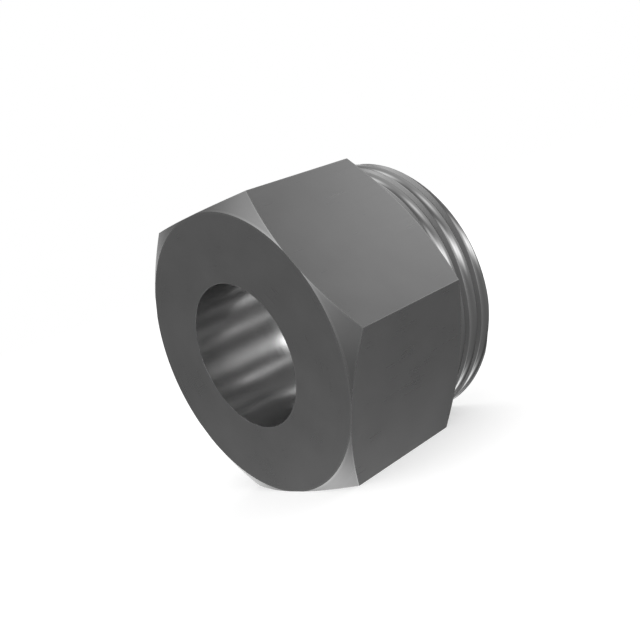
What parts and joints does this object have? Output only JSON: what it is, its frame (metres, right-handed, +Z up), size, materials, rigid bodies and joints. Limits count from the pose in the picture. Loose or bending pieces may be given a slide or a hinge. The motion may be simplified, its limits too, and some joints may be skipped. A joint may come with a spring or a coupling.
{
  "type": "hex lock nut",
  "caption": "Steel hex lock nut: a chamfered hex head and a short male thread in one turned piece, with a plain bore right through.",
  "frame": {"origin": "on the surface that the nut lies on, under the middle of its length", "axes": "+Y along the bore axis towards the threaded end, +Z up through the middle of a flat, +X through a corner of the hex"},
  "size_m": [0.0254, 0.0158, 0.022],
  "materials": {
    "steel": "plain dark steel, finely turned and oiled"
  },
  "bodies": {
    "root": {"lock_nut": "steel"}
  },
  "joints": []
}
